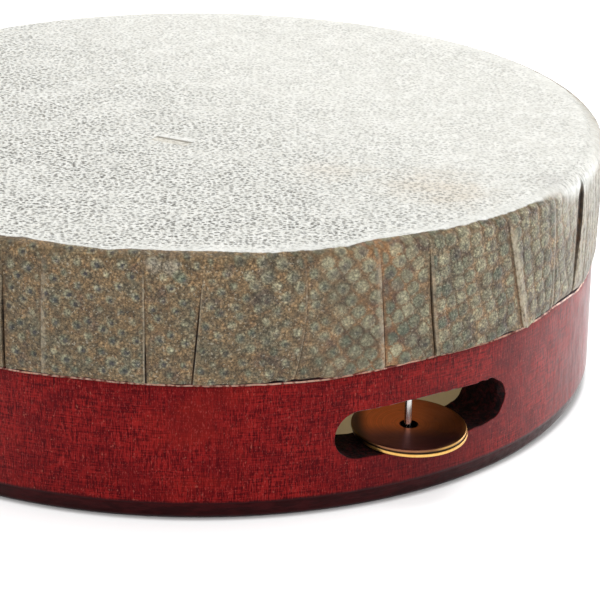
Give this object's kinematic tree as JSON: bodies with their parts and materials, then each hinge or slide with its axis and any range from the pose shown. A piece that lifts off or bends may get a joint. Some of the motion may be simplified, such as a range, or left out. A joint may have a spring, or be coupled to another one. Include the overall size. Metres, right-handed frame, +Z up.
{
  "type": "kanjira frame drum",
  "caption": "Shallow hand-held frame drum: a turned wooden ring, a pleated lizard-skin head glued over the top, and loose brass jingles on a steel pin in a slot.",
  "frame": {"origin": "centre of the open lower rim, on the drum's axis, where it stands on a table", "axes": "+Z up along the drum's axis, through the playing head; -Y towards the side that the picture shows, with the jingle slot 31.65 degrees from -Y towards +X"},
  "size_m": [0.193, 0.1929, 0.0611],
  "materials": {
    "shell_wood": "dark red stain under a satin lacquer",
    "drumhead_skin": "dried lizard skin, pale over the top and brown-green scales on the collar",
    "pin_steel": "bright wire nail",
    "jingle_brass": "brown patina with worn bright edges"
  },
  "bodies": {
    "drum": {"shell": "shell_wood", "drumhead": "drumhead_skin", "jingle_pin": "pin_steel"},
    "lower_disc": {"jingle_lower": "jingle_brass"},
    "upper_disc": {"jingle_upper": "jingle_brass"}
  },
  "joints": [
    {"name": "lower_jingle_slide", "type": "slide", "parent": "drum", "child": "lower_disc", "axis": [0, 0, 1], "range_m": [0, 0.004]},
    {"name": "upper_jingle_slide", "type": "slide", "parent": "lower_disc", "child": "upper_disc", "axis": [0, 0, 1], "range_m": [0, 0.004]}
  ]
}
